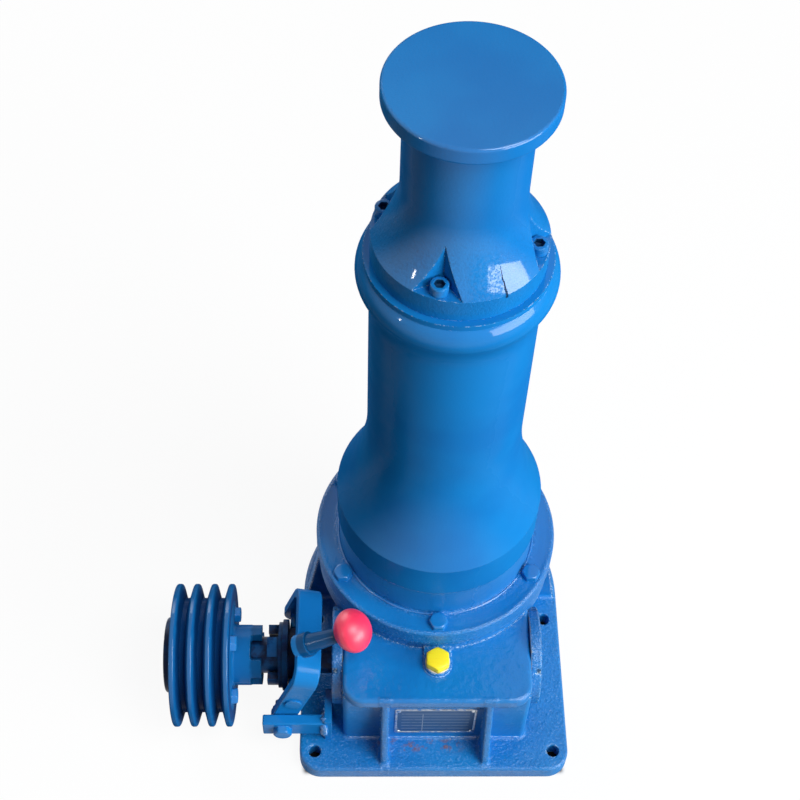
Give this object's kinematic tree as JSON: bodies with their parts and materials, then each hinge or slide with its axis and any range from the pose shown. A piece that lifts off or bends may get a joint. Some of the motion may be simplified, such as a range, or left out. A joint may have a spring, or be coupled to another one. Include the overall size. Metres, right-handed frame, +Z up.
{
  "type": "belt-driven capstan winch",
  "caption": "Vertical capstan winch with a waisted rope drum and a warping head on a worm gear case, driven by a V-belt pulley through a jaw clutch with a shift lever.",
  "frame": {"origin": "on the capstan axis at the underside of the base plate", "axes": "+Z up along the capstan axis, +X along the worm shaft away from the pulley, -Y towards the nameplate"},
  "size_m": [0.446, 0.372, 0.832],
  "materials": {
    "blue_enamel": "glossy brushed-on enamel over rough castings",
    "plain_steel": "turned",
    "dark_iron": "oiled",
    "bronze": "machined",
    "seal_rubber": "matte",
    "gasket_sheet": "matte",
    "plate_aluminium": "satin",
    "yellow_plug": "glossy",
    "red_knob": "glossy"
  },
  "bodies": {
    "housing": {"gearbox_housing": "blue_enamel", "top_cover": "blue_enamel", "cover_gasket": "gasket_sheet", "cover_bolts": "blue_enamel", "main_bearing_lower": "plain_steel", "main_bearing_upper": "plain_steel", "main_seal": "seal_rubber", "worm_bearing_left": "plain_steel", "worm_bearing_right": "plain_steel", "worm_seal": "seal_rubber", "worm_cover_left": "blue_enamel", "worm_cover_right": "blue_enamel", "worm_cover_gaskets": "gasket_sheet", "worm_cover_screws": "blue_enamel", "oil_filler_plug": "yellow_plug", "filler_washer": "plain_steel", "nameplate": "plate_aluminium", "nameplate_rivets": "plate_aluminium", "lever_bracket": "blue_enamel", "pivot_bolt": "blue_enamel", "pivot_washer": "blue_enamel", "pivot_nut": "blue_enamel"},
    "capstan": {"main_shaft": "plain_steel", "wheel_hub": "dark_iron", "wheel_rim": "bronze", "rim_bolts": "plain_steel", "wheel_key": "plain_steel", "lower_spacer": "plain_steel", "upper_spacer": "plain_steel", "capstan_drum": "blue_enamel", "drum_key": "plain_steel", "drum_washer": "plain_steel", "drum_nut": "plain_steel", "warping_head": "blue_enamel", "head_screws": "blue_enamel"},
    "worm": {"worm_shaft": "plain_steel", "sleeve_keys": "plain_steel", "end_washer": "plain_steel", "end_bolt": "plain_steel"},
    "sleeve": {"clutch_sleeve": "dark_iron"},
    "pulley": {"belt_pulley": "blue_enamel", "pulley_bushes": "bronze", "jaw_hub": "blue_enamel", "hub_bolts": "blue_enamel", "end_cap": "dark_iron", "end_cap_screws": "plain_steel"},
    "lever": {"shift_yoke": "blue_enamel", "yoke_pins": "blue_enamel", "handle_rod": "blue_enamel", "ball_knob": "red_knob"}
  },
  "joints": [
    {"name": "worm_spin", "type": "hinge", "parent": "housing", "child": "worm", "pos_m": [0, -0.115, 0.088], "axis": [1, 0, 0], "continuous": true},
    {"name": "capstan_spin", "type": "hinge", "parent": "housing", "child": "capstan", "pos_m": [0, 0, 0], "axis": [0, 0, 1], "continuous": true},
    {"name": "pulley_spin", "type": "hinge", "parent": "worm", "child": "pulley", "pos_m": [0, -0.115, 0.088], "axis": [1, 0, 0], "continuous": true},
    {"name": "lever_swing", "type": "hinge", "parent": "housing", "child": "lever", "pos_m": [-0.16795, -0.168, 0.0485], "axis": [0, 1, 0], "range_deg": [-24.4, 0]},
    {"name": "clutch_slide", "type": "slide", "parent": "worm", "child": "sleeve", "axis": [1, 0, 0], "range_m": [-0.0175, 0]}
  ],
  "couplings": [
    {"joint": "capstan_spin", "follows": "worm_spin", "ratio": -0.029412},
    {"joint": "clutch_slide", "follows": "lever_swing", "m_per_rad": 0.041}
  ]
}
